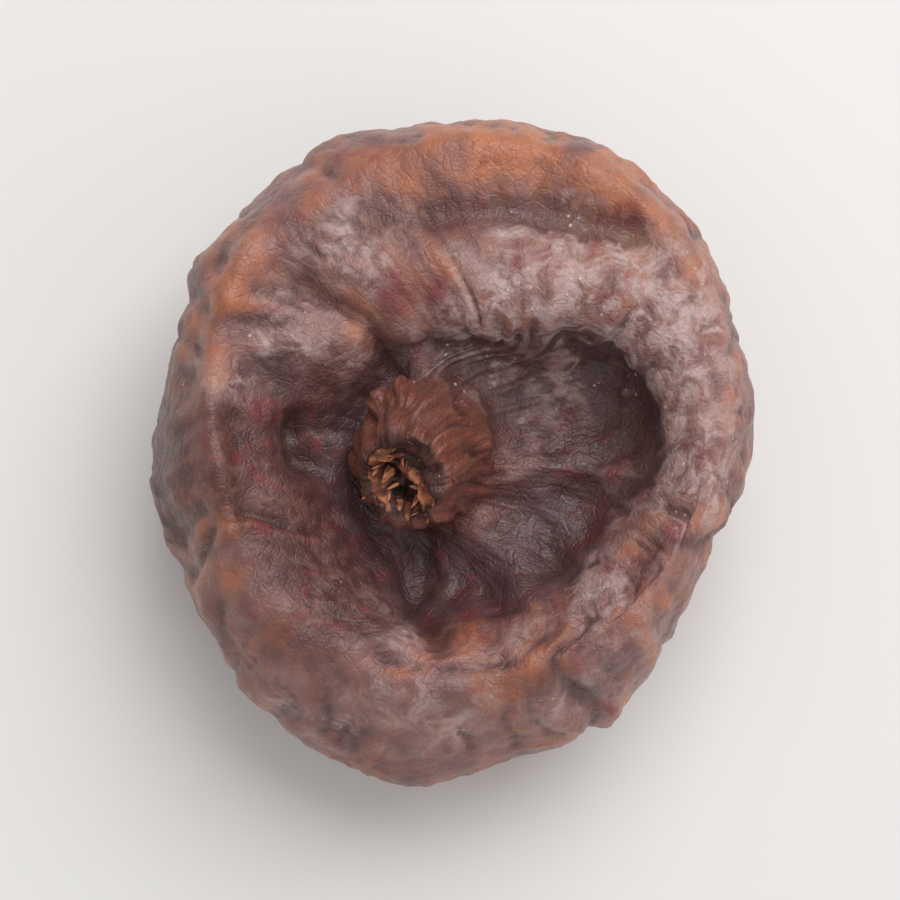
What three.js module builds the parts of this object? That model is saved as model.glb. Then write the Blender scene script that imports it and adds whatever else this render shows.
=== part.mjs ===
// A whole dried fig, pressed flat from its stalk to its eye, as it comes out of a tightly packed
// crate. It lies on its eye, so +Z runs from the eye to the stalk, and the stalk bends over to the
// lower left, towards -X and -Y. Millimetres.
//
// The fig is one closed skin. Hoops are stacked from the eye on the underside, out and up round
// the flank, over the crest, down into the hollow and up the stalk, and a B-spline surface runs
// through them. Dents, lumps, pleats and folds are then raised or sunk along its normals.

import * as THREE from 'three';

// Driving dimensions.
const WIDTH = 37.2; // along X
const LENGTH = 41.4; // along Y
const HEIGHT = 19.6; // along Z, resting on its eye

const COLUMNS = 120;
const ROWS = 50;
const EIGHTHS = 8;
const TURN = 2 * Math.PI;

const AXIS = [0, 0];
const HOLLOW = [3.0, -0.6]; // the middle of the sunk top
const STALK_FOOT = [-1.4, -0.4];
const STALK_END = [-3.3, -3.0];
const STALK_LEANS_TO = THREE.MathUtils.degToRad(228);
const STALK_STEP = 0.5; // how long the rows' steps are up the stalk, beside the rest

// One hoop of the cage: its middle, its reach outwards, its level, and how many degrees it leans
// towards the side that the stalk bends to. Reach and level hold one number, or one for each
// direction E NE N NW W SW S SE.
const hoop = (name, at, reach, level, lean = 0) => ({ name, at, reach, level, lean });

const CAGE = [
  hoop('eye floor', AXIS, 0, 2.2),
  hoop('eye wall', AXIS, 1.2, 2.2),
  hoop('eye lip', AXIS, 2.4, 0.9),
  hoop('rest, inside', AXIS, 5.0, 0.9),
  hoop('rest, middle', AXIS, 9.0, -0.6),
  hoop('rest, outside', AXIS, [12.2, 12.6, 12.8, 12.0, 12.0, 12.4, 12.8, 12.0], -0.2),
  hoop('lower turn', AXIS, [15.6, 17.4, 17.6, 16.6, 15.8, 16.6, 17.4, 15.8],
    [2.0, 1.6, 1.2, 2.0, 1.6, 1.4, 1.2, 2.0]),
  hoop('lower flank', AXIS, [18.0, 20.8, 20.2, 20.4, 18.2, 20.2, 20.8, 18.6],
    [6.0, 5.4, 4.6, 5.8, 5.4, 4.8, 4.6, 5.8]),
  hoop('waist', AXIS, [18.8, 22.2, 20.8, 21.8, 19.0, 21.4, 22.0, 19.8],
    [10.4, 9.8, 9.0, 10.2, 9.8, 9.0, 8.8, 9.6]),
  hoop('upper flank', AXIS, [18.4, 21.4, 20.2, 20.8, 18.4, 20.0, 20.8, 18.8],
    [14.6, 15.0, 14.6, 14.4, 14.2, 13.4, 12.8, 13.0]),
  hoop('crest', AXIS, [16.8, 19.0, 18.0, 17.2, 15.6, 16.0, 16.6, 16.4],
    [18.4, 19.4, 20.6, 19.2, 18.6, 17.4, 16.8, 16.2]),
  hoop('crease', AXIS, [16.0, 17.2, 15.0, 14.4, 13.4, 14.0, 14.2, 15.2],
    [18.8, 18.4, 17.8, 18.6, 17.2, 16.8, 17.6, 17.0]),
  hoop('shoulder', HOLLOW, [12.2, 12.0, 8.6, 11.2, 14.0, 13.4, 12.0, 12.4],
    [19.4, 20.8, 20.8, 18.4, 15.6, 15.4, 16.2, 16.8]),
  hoop('lip', HOLLOW, [9.4, 8.8, 4.8, 9.2, 12.2, 11.8, 10.8, 9.8],
    [17.0, 18.2, 18.6, 16.8, 13.8, 13.0, 14.2, 15.0]),
  hoop('wall', HOLLOW, [9.6, 9.8, 5.0, 8.4, 11.2, 10.4, 9.6, 8.4],
    [14.2, 14.4, 17.0, 15.6, 12.8, 11.8, 12.6, 13.4]),
  hoop('floor', HOLLOW, [7.4, 7.8, 5.0, 7.4, 10.2, 9.2, 8.2, 6.6],
    [11.4, 11.2, 15.4, 14.9, 12.2, 10.9, 11.0, 11.4]),
  hoop('stalk foot', STALK_FOOT, [4.6, 4.6, 4.6, 4.8, 4.8, 5.2, 5.2, 4.8],
    [12.0, 12.2, 15.2, 15.0, 12.9, 11.4, 11.2, 11.6]),
  hoop('neck', [-2.0, -0.7], [4.1, 4.3, 4.4, 4.5, 4.4, 4.5, 4.8, 4.4],
    [13.2, 13.8, 15.6, 15.6, 14.0, 13.0, 12.8, 13.0], 8),
  hoop('upper neck', [-2.4, -1.4], [3.6, 3.8, 4.0, 4.0, 3.9, 4.0, 4.1, 3.8],
    [15.0, 15.4, 16.4, 16.6, 15.8, 15.0, 14.8, 14.8], 18),
  hoop('stalk', [-2.8, -2.2], 3.5, 16.8, 30),
  hoop('stalk rim', STALK_END, [2.9, 3.2, 3.0, 2.8, 3.1, 3.2, 2.9, 3.0], 18.0, 40),
  hoop('stalk break', STALK_END, [2.2, 2.5, 2.2, 2.1, 2.4, 2.4, 2.2, 2.3], 18.0, 42),
  hoop('pith wall', [-3.2, -2.9], 2.0, 16.9, 42),
  hoop('pith floor', [-3.0, -2.7], 1.2, 16.3, 42),
  hoop('pith', [-3.0, -2.7], 0, 16.3, 42),
];
const LAST_HOOP = CAGE.length - 1;
const hoopNumber = (name) => CAGE.findIndex((each) => each.name === name);

const LOWER_TURN = hoopNumber('lower turn');
const CREST = hoopNumber('crest');
const CREASE = hoopNumber('crease');
const LIP = hoopNumber('lip');
const WALL = hoopNumber('wall');
const FOOT = hoopNumber('stalk foot');
const NECK = hoopNumber('neck');
const RIM = hoopNumber('stalk rim');

// Folds of the top seen from above: lift, half width, and a line of points.
const FOLDS = [
  { lift: -0.8, width: 1.2, line: [[-1.5, 13.0], [2.5, 13.4], [6, 13.1], [10.6, 12.0]] },
  { lift: -1.8, width: 1.15, line: [[-9.8, 0.5], [-9.3, -1.3]] },
  { lift: -0.7, width: 1.0, line: [[-4.5, -13.6], [-1, -14.6], [2.6, -14.0]] },
  { lift: -0.5, width: 1.1, line: [[7.5, -13.6], [9.8, -11.2], [11.6, -7]] },
  { lift: -0.8, width: 0.9, line: [[-9.4, 8.6], [-5.6, 6.2], [-3.6, 3.6]] },
  { lift: 0.6, width: 0.8, line: [[-13.2, 11], [-15.0, 5.5], [-15.2, 0], [-14.0, -6]] },
  { lift: 0.7, width: 1.4, line: [[1.5, -1.0], [5.0, -2.0], [8.0, -1.2], [10.5, -2.0]] },
  { lift: -0.9, width: 1.2, line: [[-2.0, -6.0], [-2.6, -9.6], [-1.2, -12.2]] },
  { lift: 0.8, width: 1.3, line: [[1.6, -5.6], [4.6, -9.8]] },
];

// Dents that its neighbours pressed into the flank: depth, half width, and the middle of each.
const DENTS = [
  { depth: 0.7, width: 6.5, middle: [-14.5, -14.0, 6.0] },
  { depth: 0.6, width: 6.0, middle: [-15.0, 12.5, 12.0] },
  { depth: 1.2, width: 6.0, middle: [16.5, -9.5, 8.0] },
  { depth: 0.5, width: 4.5, middle: [13.0, -15.5, 8.0] },
  { depth: 1.0, width: 5.5, middle: [6.0, 21.0, 5.0] },
  { depth: 0.9, width: 5.0, middle: [2.0, -21.0, 13.0] },
];

// Lumps and pleats.
const LARGE_LUMPS = { across: 8.0, lift: 0.8, seed: 3 };
const SMALL_LUMPS = { across: 3.6, lift: 0.2, seed: 4 };
const STALK_LUMPS = { across: 2.4, lift: 0.5, seed: 5 };
const WARP = { across: 6.0, seeds: [11, 12, 13] };
const BODY_PLEATS = { turns: 6.5, rate: 0.06, sway: 0.45, seed: 21, soft: 0.16, middle: 0.55 };
const STALK_PLEATS = { turns: 1.7, rate: 0.16, sway: 0.5, seed: 24, soft: 0.1, middle: 0.5 };
const BODY_PLEAT_LIFT = { rim: 0.3, flank: 0.21, hollow: 0.24, rest: 0.39 };
const STALK_PLEAT_LIFT = 0.6;
const RIBBED = { across: 9.0, seed: 32, least: 0.3 }; // where the body is smooth, its pleats fade to this

// The smooth surface.

// 0 below a, 1 above b, and a smooth ramp between them.
function ramp(a, b, x) {
  const f = THREE.MathUtils.clamp((x - a) / (b - a), 0, 1);
  return f * f * (3 - 2 * f);
}

// Weights of a uniform cubic B-spline at f, from 0 to 1 along a span.
function splineWeights(f) {
  const g = 1 - f;
  return [g ** 3, 3 * f ** 3 - 6 * f ** 2 + 4, 3 * g ** 3 - 6 * g ** 2 + 4, f ** 3].map((w) => w / 6);
}

// A value that goes smoothly round the fig, from one number for each direction.
function around(value, angle) {
  if (!Array.isArray(value)) return value;
  const turn = (((angle / TURN) * EIGHTHS) % EIGHTHS + EIGHTHS) % EIGHTHS;
  const start = Math.floor(turn);
  const corner = (k) => value[(start + k - 1 + EIGHTHS) % EIGHTHS];
  return splineWeights(turn - start).reduce((sum, weight, k) => sum + weight * corner(k), 0);
}

// A point of one hoop. Its plane is tipped by its lean, down on the side that the stalk bends to.
function hoopPoint({ at, reach, level, lean }, angle) {
  const out = around(reach, angle);
  const tilt = THREE.MathUtils.degToRad(lean);
  const downhill = out * Math.cos(angle - STALK_LEANS_TO);
  const drawnIn = downhill * (1 - Math.cos(tilt));
  return new THREE.Vector3(
    at[0] + out * Math.cos(angle) - drawnIn * Math.cos(STALK_LEANS_TO),
    at[1] + out * Math.sin(angle) - drawnIn * Math.sin(STALK_LEANS_TO),
    around(level, angle) - downhill * Math.sin(tilt),
  );
}

// The cage at one angle, with a hoop mirrored past each end.
function cageLine(angle) {
  const points = CAGE.map((each) => hoopPoint(each, angle));
  const mirrored = (end, inner) => end.clone().multiplyScalar(2).sub(inner);
  const last = points.length - 1;
  return [mirrored(points[0], points[1]), ...points, mirrored(points[last], points[last - 1])];
}

// The point at hoop number t of a cage line.
function onLine(line, t) {
  const start = Math.min(Math.floor(t), LAST_HOOP - 1);
  const point = new THREE.Vector3();
  splineWeights(t - start).forEach((weight, k) => point.addScaledVector(line[start + k], weight));
  return point;
}

// Hoop numbers at even steps along the skin, averaged over the directions, and how far along it
// each of them lies. The steps shrink to STALK_STEP of their length up the stalk.
function stationsAlong(count) {
  const lines = Array.from({ length: EIGHTHS }, (_, k) => cageLine((k / EIGHTHS) * TURN));
  const parts = 20 * count;
  const lengths = [0];
  const steps = [0];
  let before = lines.map((line) => onLine(line, 0));
  for (let k = 1; k <= parts; k += 1) {
    const t = (k / parts) * LAST_HOOP;
    const here = lines.map((line) => onLine(line, t));
    const length = here.reduce((sum, point, n) => sum + point.distanceTo(before[n]), 0) / EIGHTHS;
    lengths.push(lengths[k - 1] + length);
    steps.push(steps[k - 1] + length / (1 - (1 - STALK_STEP) * ramp(FOOT, NECK, t)));
    before = here;
  }
  const stations = [];
  let k = 0;
  for (let n = 0; n <= count; n += 1) {
    const wanted = (n / count) * steps[parts];
    while (k < parts - 1 && steps[k + 1] < wanted) k += 1;
    const f = (wanted - steps[k]) / (steps[k + 1] - steps[k]);
    const along = lengths[k] + f * (lengths[k + 1] - lengths[k]);
    stations.push({ t: ((k + f) / parts) * LAST_HOOP, along });
  }
  return stations;
}

// Noise.

// A repeatable 32-bit number for a corner of a cubic lattice.
function latticeHash(i, j, k, seed) {
  let n = Math.imul(i, 73856093) ^ Math.imul(j, 19349663) ^ Math.imul(k, 83492791);
  n ^= seed * 40503;
  n = Math.imul(n ^ (n >>> 13), 1274126177);
  return (n ^ (n >>> 16)) >>> 0;
}

// Gradient noise, about -1 to 1: a random slope at each lattice corner, blended smoothly.
function noise(place, seed) {
  const cell = place.map(Math.floor);
  const f = place.map((x, a) => x - cell[a]);
  const fade = f.map((x) => x * x * x * (x * (x * 6 - 15) + 10));
  let total = 0;
  for (let corner = 0; corner < 8; corner += 1) {
    const side = [corner & 1, (corner >> 1) & 1, (corner >> 2) & 1];
    const hash = latticeHash(cell[0] + side[0], cell[1] + side[1], cell[2] + side[2], seed);
    const height = (hash & 0xffff) / 32767.5 - 1;
    const swing = ((hash >>> 16) / 65535) * TURN;
    const flat = Math.sqrt(Math.max(1 - height * height, 0));
    const slope = [flat * Math.cos(swing), flat * Math.sin(swing), height];
    const dot = slope.reduce((sum, s, a) => sum + s * (f[a] - side[a]), 0);
    total += dot * side.reduce((product, s, a) => product * (s ? fade[a] : 1 - fade[a]), 1);
  }
  return total * 1.7;
}

// Rounded puffs between narrow creases: the size of the noise, softened to 0 in each crease.
function puffs(place, seed, soft) {
  const n = noise(place, seed);
  return Math.min(Math.sqrt(n * n + soft * soft) - soft, 0.62) / 0.5;
}

// Relief.

// How far a point seen from above is from a line of points.
function distanceToLine(x, y, line) {
  let least = Infinity;
  for (let k = 1; k < line.length; k += 1) {
    const [ax, ay] = line[k - 1];
    const dx = line[k][0] - ax;
    const dy = line[k][1] - ay;
    const f = ((x - ax) * dx + (y - ay) * dy) / (dx * dx + dy * dy);
    const g = THREE.MathUtils.clamp(f, 0, 1);
    least = Math.min(least, Math.hypot(x - ax - g * dx, y - ay - g * dy));
  }
  return least;
}

// How much each stretch of the skin counts at hoop number t.
function stretches(t) {
  return {
    rest: ramp(0.6, 2.5, t) * (1 - ramp(LOWER_TURN - 1, LOWER_TURN + 0.4, t)),
    rim: ramp(LOWER_TURN - 1, LOWER_TURN + 1, t) * (1 - ramp(LIP - 0.4, WALL, t)),
    flank: ramp(LOWER_TURN - 1, LOWER_TURN + 1, t) * (1 - ramp(CREST - 1, CREST, t)),
    top: ramp(CREST - 1, CREST - 0.2, t) * (1 - ramp(FOOT, NECK, t)),
    hollow: ramp(LIP - 0.4, WALL, t) * (1 - ramp(FOOT - 0.3, NECK, t)),
    stalk: ramp(FOOT - 0.3, NECK, t) * (1 - ramp(RIM - 0.2, RIM + 0.6, t)),
  };
}

// Noise in space at a point, with features of one size.
function noiseAt(point, across, seed) {
  return noise(point.toArray().map((x) => x / across), seed);
}

// Dents in the flank and lumps everywhere, least on the underside.
function lumps(point, t) {
  const on = stretches(t);
  const rise = ({ across, lift: size, seed }) => size * noiseAt(point, across, seed);
  let lift = rise(LARGE_LUMPS) + rise(SMALL_LUMPS);
  lift *= 0.25 + 0.75 * on.rim + 0.75 * on.hollow;
  lift += rise(STALK_LUMPS) * on.stalk;
  for (const { depth, width, middle } of DENTS) {
    const away = point.distanceTo(new THREE.Vector3(...middle));
    lift -= depth * Math.exp(-((away / width) ** 2)) * (1 - ramp(CREST, CREASE, t));
  }
  return lift;
}

// Pleats that run from the eye to the stalk, and the folds of the top.
function pleats(point, t, angle, along) {
  const on = stretches(t);
  const warp = WARP.seeds.map((seed) => noiseAt(point, WARP.across, seed));
  const strands = ({ turns, rate, sway, seed, soft, middle }) => {
    const straight = [turns * Math.cos(angle), turns * Math.sin(angle), rate * along];
    return puffs(straight.map((x, a) => x + warp[a] * sway), seed, soft) - middle;
  };
  const stretchLift = (sum, [name, size]) => sum + size * on[name];
  const bodyLift = Object.entries(BODY_PLEAT_LIFT).reduce(stretchLift, 0);
  const ribbed = ramp(-0.3, 0.4, noiseAt(point, RIBBED.across, RIBBED.seed));
  let lift = strands(BODY_PLEATS) * bodyLift * (RIBBED.least + (1 - RIBBED.least) * ribbed);
  lift += strands(STALK_PLEATS) * STALK_PLEAT_LIFT * on.stalk;
  for (const fold of FOLDS) {
    const away = distanceToLine(point.x, point.y, fold.line);
    lift += on.top * fold.lift * Math.exp(-((away / fold.width) ** 2));
  }
  return lift;
}

// The skin as a grid of points: rows from the eye to the stalk, columns round the fig.

// Moves every point along the grid's normal there, by what a function says.
function raise(grid, liftAt) {
  const last = grid.length - 1;
  const across = new THREE.Vector3();
  const up = new THREE.Vector3();
  return grid.map((row, r) => row.map((point, c) => {
    const next = row[(c + 1) % COLUMNS];
    const previous = row[(c + COLUMNS - 1) % COLUMNS];
    across.subVectors(next, previous);
    up.subVectors(grid[Math.min(r + 1, last)][c], grid[Math.max(r - 1, 0)][c]);
    across.cross(up).normalize();
    return point.clone().addScaledVector(across, liftAt(point, r, c));
  }));
}

// Stretches the grid so that it has its stated size and stands on its lowest point, over the origin.
function fitToSize(grid) {
  const box = new THREE.Box3().setFromPoints(grid.flat());
  const size = box.getSize(new THREE.Vector3());
  const scale = new THREE.Vector3(WIDTH, LENGTH, HEIGHT).divide(size);
  const middle = box.getCenter(new THREE.Vector3()).setZ(box.min.z);
  grid.flat().forEach((point) => point.sub(middle).multiply(scale));
}

// One closed surface over the grid. Its first and last rows are a single point each.
function skinGeometry(grid) {
  const last = grid.length - 1;
  const vertices = [grid[0][0], ...grid.slice(1, last).flat(), grid[last][0]];
  const tip = vertices.length - 1;
  const index = [];
  const at = (row, column) => 1 + (row - 1) * COLUMNS + (column % COLUMNS);
  for (let column = 0; column < COLUMNS; column += 1) {
    index.push(0, at(1, column + 1), at(1, column));
    for (let row = 1; row < last - 1; row += 1) {
      const [a, b] = [at(row, column), at(row, column + 1)];
      const [c, d] = [at(row + 1, column + 1), at(row + 1, column)];
      index.push(a, b, c, a, c, d);
    }
    index.push(at(last - 1, column), at(last - 1, column + 1), tip);
  }
  const geometry = new THREE.BufferGeometry().setFromPoints(vertices);
  geometry.setIndex(index);
  geometry.computeVertexNormals();
  return geometry;
}

function figGeometry() {
  const stations = stationsAlong(ROWS);
  const angles = Array.from({ length: COLUMNS }, (_, c) => (c / COLUMNS) * TURN);
  const lines = angles.map(cageLine);
  let grid = stations.map(({ t }) => lines.map((line) => onLine(line, t)));
  grid = raise(grid, (point, r) => lumps(point, stations[r].t));
  grid = raise(grid, (point, r, c) => pleats(point, stations[r].t, angles[c], stations[r].along));
  grid.flat().forEach((point) => point.setZ(Math.max(point.z, 0)));
  fitToSize(grid);
  return skinGeometry(grid);
}

const figSkin = new THREE.MeshStandardMaterial({
  color: new THREE.Color().setRGB(0.42, 0.27, 0.22, THREE.SRGBColorSpace),
  roughness: 0.55,
  metalness: 0,
});
figSkin.name = 'fig_skin';

const driedFig = new THREE.Mesh(figGeometry(), figSkin);
driedFig.name = 'dried_fig';

const fig = new THREE.Group();
fig.add(driedFig);

export default fig;
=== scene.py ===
"""A dried fig: its wrinkled skin, its finish and the light it lies in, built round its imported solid.

The file is laid out as a Blender add-on and is run as a script.
"""

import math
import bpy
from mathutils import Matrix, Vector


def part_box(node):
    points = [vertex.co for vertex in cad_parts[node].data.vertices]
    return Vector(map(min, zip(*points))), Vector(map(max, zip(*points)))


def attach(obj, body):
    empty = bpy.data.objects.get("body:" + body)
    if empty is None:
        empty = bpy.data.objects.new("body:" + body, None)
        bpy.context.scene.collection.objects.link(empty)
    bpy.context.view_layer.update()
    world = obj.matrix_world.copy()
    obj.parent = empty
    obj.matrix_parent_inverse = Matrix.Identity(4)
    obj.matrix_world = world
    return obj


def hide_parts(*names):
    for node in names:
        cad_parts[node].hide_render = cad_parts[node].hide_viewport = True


bl_info = {
    "name": "Dried fig",
    "version": (1, 0, 0),
    "blender": (4, 5, 0),
    "location": "View3D > Sidebar > Dried fig",
    "description": "Builds a dried fig's skin, its finish, a floor, lights and a camera",
    "category": "Object",
}

import bpy
import numpy as np
from mathutils import Vector

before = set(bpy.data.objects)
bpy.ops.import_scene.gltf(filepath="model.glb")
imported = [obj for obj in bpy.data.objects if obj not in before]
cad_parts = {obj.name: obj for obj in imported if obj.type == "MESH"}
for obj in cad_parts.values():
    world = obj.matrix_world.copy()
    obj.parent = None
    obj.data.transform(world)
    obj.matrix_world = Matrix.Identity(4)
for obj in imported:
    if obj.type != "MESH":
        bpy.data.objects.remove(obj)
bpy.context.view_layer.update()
FIG_NODE = "dried_fig"
FIG_LOW, FIG_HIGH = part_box(FIG_NODE)
MM = 0.001

# ------------------------------------------------------------------ the cage of hoops, in millimetres
EIGHTHS = 8
TURN = 2 * math.pi
HOLLOW = (3.0, -0.6)
STALK_FOOT = (-1.4, -0.4)
STALK_END = (-3.3, -3.0)
STALK_LEANS_TO = math.radians(228)
STALK_STEP = 0.5

# Name, middle, reach outwards, level, and lean in degrees towards the side that the stalk bends to.
# Reach and level hold one number, or one for each direction E NE N NW W SW S SE.
CAGE = [
    ("eye floor", (0, 0), 0, 2.2, 0),
    ("eye wall", (0, 0), 1.2, 2.2, 0),
    ("eye lip", (0, 0), 2.4, 0.9, 0),
    ("rest, inside", (0, 0), 5.0, 0.9, 0),
    ("rest, middle", (0, 0), 9.0, -0.6, 0),
    ("rest, outside", (0, 0), (12.2, 12.6, 12.8, 12.0, 12.0, 12.4, 12.8, 12.0), -0.2, 0),
    ("lower turn", (0, 0), (15.6, 17.4, 17.6, 16.6, 15.8, 16.6, 17.4, 15.8),
     (2.0, 1.6, 1.2, 2.0, 1.6, 1.4, 1.2, 2.0), 0),
    ("lower flank", (0, 0), (18.0, 20.8, 20.2, 20.4, 18.2, 20.2, 20.8, 18.6),
     (6.0, 5.4, 4.6, 5.8, 5.4, 4.8, 4.6, 5.8), 0),
    ("waist", (0, 0), (18.8, 22.2, 20.8, 21.8, 19.0, 21.4, 22.0, 19.8),
     (10.4, 9.8, 9.0, 10.2, 9.8, 9.0, 8.8, 9.6), 0),
    ("upper flank", (0, 0), (18.4, 21.4, 20.2, 20.8, 18.4, 20.0, 20.8, 18.8),
     (14.6, 15.0, 14.6, 14.4, 14.2, 13.4, 12.8, 13.0), 0),
    ("crest", (0, 0), (16.8, 19.0, 18.0, 17.2, 15.6, 16.0, 16.6, 16.4),
     (18.4, 19.4, 20.6, 19.2, 18.6, 17.4, 16.8, 16.2), 0),
    ("crease", (0, 0), (16.0, 17.2, 15.0, 14.4, 13.4, 14.0, 14.2, 15.2),
     (18.8, 18.4, 17.8, 18.6, 17.2, 16.8, 17.6, 17.0), 0),
    ("shoulder", HOLLOW, (12.2, 12.0, 8.6, 11.2, 14.0, 13.4, 12.0, 12.4),
     (19.4, 20.8, 20.8, 18.4, 15.6, 15.4, 16.2, 16.8), 0),
    ("lip", HOLLOW, (9.4, 8.8, 4.8, 9.2, 12.2, 11.8, 10.8, 9.8),
     (17.0, 18.2, 18.6, 16.8, 13.8, 13.0, 14.2, 15.0), 0),
    ("wall", HOLLOW, (9.6, 9.8, 5.0, 8.4, 11.2, 10.4, 9.6, 8.4),
     (14.2, 14.4, 17.0, 15.6, 12.8, 11.8, 12.6, 13.4), 0),
    ("floor", HOLLOW, (7.4, 7.8, 5.0, 7.4, 10.2, 9.2, 8.2, 6.6),
     (11.4, 11.2, 15.4, 14.9, 12.2, 10.9, 11.0, 11.4), 0),
    ("stalk foot", STALK_FOOT, (4.6, 4.6, 4.6, 4.8, 4.8, 5.2, 5.2, 4.8),
     (12.0, 12.2, 15.2, 15.0, 12.9, 11.4, 11.2, 11.6), 0),
    ("neck", (-2.0, -0.7), (4.1, 4.3, 4.4, 4.5, 4.4, 4.5, 4.8, 4.4),
     (13.2, 13.8, 15.6, 15.6, 14.0, 13.0, 12.8, 13.0), 8),
    ("upper neck", (-2.4, -1.4), (3.6, 3.8, 4.0, 4.0, 3.9, 4.0, 4.1, 3.8),
     (15.0, 15.4, 16.4, 16.6, 15.8, 15.0, 14.8, 14.8), 18),
    ("stalk", (-2.8, -2.2), 3.5, 16.8, 30),
    ("stalk rim", STALK_END, (2.9, 3.2, 3.0, 2.8, 3.1, 3.2, 2.9, 3.0), 18.0, 40),
    ("stalk break", STALK_END, (2.2, 2.5, 2.2, 2.1, 2.4, 2.4, 2.2, 2.3), 18.0, 42),
    ("pith wall", (-3.2, -2.9), 2.0, 16.9, 42),
    ("pith floor", (-3.0, -2.7), 1.2, 16.3, 42),
    ("pith", (-3.0, -2.7), 0, 16.3, 42),
]
LAST_HOOP = len(CAGE) - 1


def hoop_number(name):
    """Where a hoop stands in the cage, counted from the eye."""
    return [hoop[0] for hoop in CAGE].index(name)


LOWER_TURN = hoop_number("lower turn")
CREST = hoop_number("crest")
CREASE = hoop_number("crease")
LIP = hoop_number("lip")
WALL = hoop_number("wall")
FOOT = hoop_number("stalk foot")
NECK = hoop_number("neck")
RIM = hoop_number("stalk rim")

# Folds of the top seen from above: lift, half width, and a line of points.
FOLDS = [
    (-0.8, 1.2, [(-1.5, 13.0), (2.5, 13.4), (6, 13.1), (10.6, 12.0)]),
    (-1.8, 1.15, [(-9.8, 0.5), (-9.3, -1.3)]),
    (-0.7, 1.0, [(-4.5, -13.6), (-1, -14.6), (2.6, -14.0)]),
    (-0.5, 1.1, [(7.5, -13.6), (9.8, -11.2), (11.6, -7)]),
    (-0.8, 0.9, [(-9.4, 8.6), (-5.6, 6.2), (-3.6, 3.6)]),
    (0.6, 0.8, [(-13.2, 11), (-15.0, 5.5), (-15.2, 0), (-14.0, -6)]),
    (0.7, 1.4, [(1.5, -1.0), (5.0, -2.0), (8.0, -1.2), (10.5, -2.0)]),
    (-0.9, 1.2, [(-2.0, -6.0), (-2.6, -9.6), (-1.2, -12.2)]),
    (0.8, 1.3, [(1.6, -5.6), (4.6, -9.8)]),
]

# Dents that its neighbours pressed into the flank: depth, half width, and the middle of each.
DENTS = [
    (0.7, 6.5, (-14.5, -14.0, 6.0)),
    (0.6, 6.0, (-15.0, 12.5, 12.0)),
    (1.2, 6.0, (16.5, -9.5, 8.0)),
    (0.5, 4.5, (13.0, -15.5, 8.0)),
    (1.0, 5.5, (6.0, 21.0, 5.0)),
    (0.9, 5.0, (2.0, -21.0, 13.0)),
]

# Where the skin is amber, dusty with bloom, and dark red brown, partly its own flush and partly painted
# shade: strength, half width, and the middle.
AMBER_SPOTS = [
    (1.3, 4.5, (3.0, 18.5, 17.5)),
    (1.1, 4.0, (9.5, 17.0, 16.0)),
    (1.2, 3.0, (-15.0, 7.5, 18.0)),
    (0.5, 3.5, (10.5, -15.0, 11.0)),
    (0.6, 4.5, (-16.5, -5.0, 8.0)),
    (-0.9, 5.0, (-9.0, -8.5, 15.0)),
    (-0.5, 4.0, (-4.0, -13.5, 16.0)),
    (0.6, 5.0, (-2.0, -20.0, 6.0)),
    (0.7, 5.5, (17.5, 9.0, 6.0)),
]
BLOOM_SPOTS = [
    (1.3, 5.0, (8.0, 9.0, 19.0)),
    (1.1, 4.5, (13.5, 4.0, 18.0)),
    (1.0, 4.5, (14.5, -4.0, 17.0)),
    (0.5, 5.5, (-1.0, -15.5, 16.0)),
    (-0.6, 4.0, (-1.5, -9.5, 11.0)),
    (0.6, 4.0, (10.0, -11.5, 15.0)),
    (0.8, 4.5, (-7.0, 11.0, 18.0)),
    (0.9, 4.0, (6.0, 4.0, 10.0)),
    (0.8, 3.5, (0.5, 5.5, 16.0)),
    (-0.9, 4.0, (3.0, 18.5, 17.5)),
]
# The flush spots are partly the skin's own dark red brown and partly painted shade: on the outer left
# flank, in the pit west of the stalk, just south of the stalk and in the hollow.
FLUSH_AND_SHADE_SPOTS = [
    (1.0, 4.5, (-11.0, 2.5, 15.5)),
    (1.3, 5.0, (-11.0, -5.0, 15.0)),
    (1.3, 5.0, (-6.5, -10.0, 14.0)),
    (1.4, 4.0, (-1.5, -9.0, 11.0)),
    (1.1, 4.0, (6.5, -8.0, 11.0)),
    (0.8, 3.0, (7.0, -3.5, 11.0)),
    (0.6, 3.0, (5.0, -14.5, 15.5)),
    (1.2, 2.6, (-9.8, 0.8, 14.0)),
    (1.3, 6.0, (-18.0, 0.0, 9.0)),
]

# Furrows down the flank: depth, half width in degrees, direction, and the hoops that each fades out at.
FURROWS = [
    (0.6, 2.2, 296, "lower flank", "shoulder"),
    (0.5, 2.6, 338, "waist", "lip"),
    (0.5, 1.8, 204, "waist", "lip"),
    (0.4, 2.2, 118, "lower turn", "crest"),
    (0.7, 1.8, 38, "lower flank", "upper flank"),
    (0.4, 1.8, 18, "lower flank", "crest"),
]


def spline_weights(f):
    """The four weights of a uniform cubic B-spline at f, from 0 to 1 along a span, on a last axis."""
    g = 1 - f
    return np.stack([g**3, 3 * f**3 - 6 * f**2 + 4, 3 * g**3 - 6 * g**2 + 4, f**3], -1) / 6


def around(value, angle):
    """A value that goes smoothly round the fig: a closed cubic B-spline over eight directions."""
    if np.isscalar(value):
        return np.full(angle.shape, float(value))
    turn = (angle / TURN * EIGHTHS) % EIGHTHS
    start = np.floor(turn).astype(int)
    corners = np.asarray(value, float)[(start[..., None] + np.arange(-1, 3)) % EIGHTHS]
    return (spline_weights(turn - start) * corners).sum(-1)


def hoop_points(hoop, angle):
    """A hoop's points: its middle plus its reach at each angle, in a plane tipped by its lean."""
    _, (x, y), reach, level, lean = hoop
    out = around(reach, angle)
    downhill = out * np.cos(angle - STALK_LEANS_TO)
    drawn = downhill * (1 - math.cos(math.radians(lean)))
    return np.stack(
        [
            x + out * np.cos(angle) - drawn * math.cos(STALK_LEANS_TO),
            y + out * np.sin(angle) - drawn * math.sin(STALK_LEANS_TO),
            around(level, angle) - downhill * math.sin(math.radians(lean)),
        ],
        -1,
    )


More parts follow.
